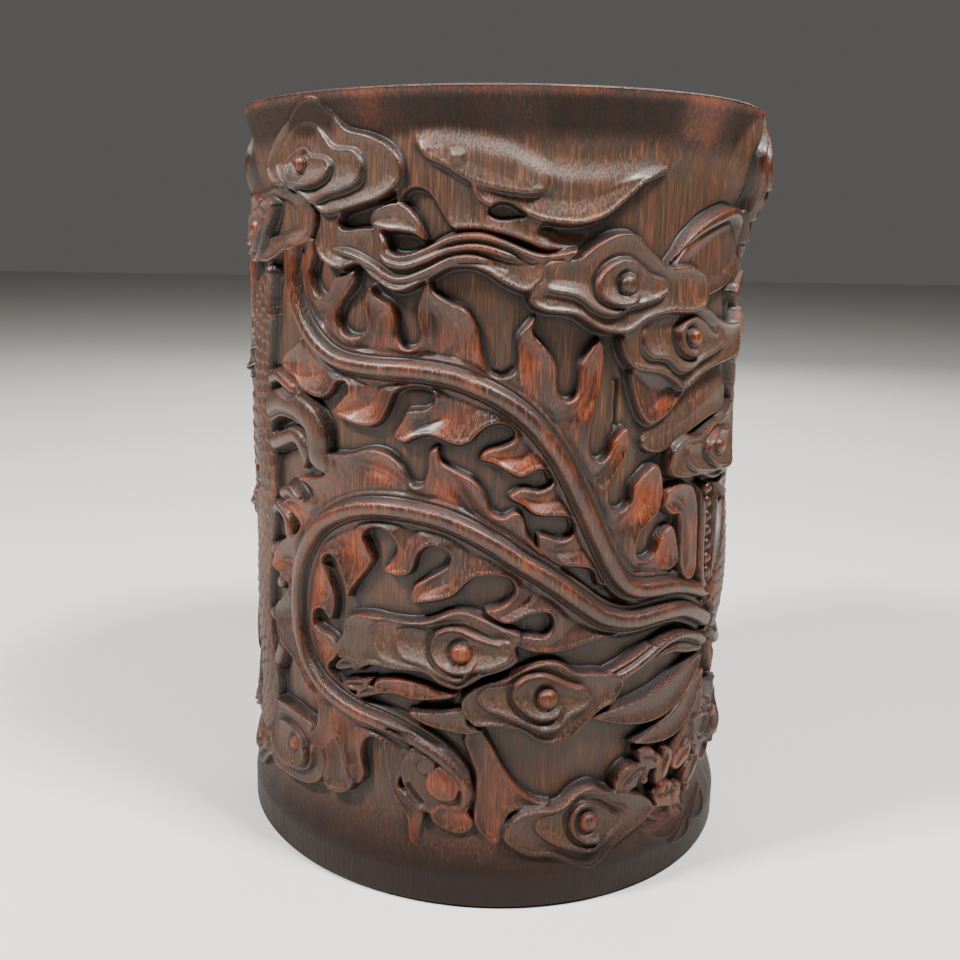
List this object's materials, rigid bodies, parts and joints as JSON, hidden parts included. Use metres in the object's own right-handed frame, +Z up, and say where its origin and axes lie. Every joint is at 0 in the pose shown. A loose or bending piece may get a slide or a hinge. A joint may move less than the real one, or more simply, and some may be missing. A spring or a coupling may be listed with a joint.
{
  "type": "brush pot",
  "caption": "Round brush pot cut from a bamboo culm and carved with clouds and plumed tail feathers, with an open top, a swept rim and a let-in floor.",
  "frame": {"origin": "middle of the foot, on the surface that the pot stands on", "axes": "+Z up along the pot's middle line, -Y towards the side with the long curling tail feathers, +X to its right"},
  "size_m": [0.1155, 0.112, 0.16],
  "materials": {
    "carved_bamboo": "old bamboo, carved and waxed, dark red-brown with fine upright fibres, glossy where worn",
    "floor_wood": "dark close-grained wood, oiled and dull",
    "peg_bamboo": "split bamboo, bare end grain"
  },
  "bodies": {
    "root": {"carved_culm_wall": "carved_bamboo", "floor_disc": "floor_wood", "floor_peg_1": "peg_bamboo", "floor_peg_2": "peg_bamboo", "floor_peg_3": "peg_bamboo", "floor_peg_4": "peg_bamboo"}
  },
  "joints": []
}
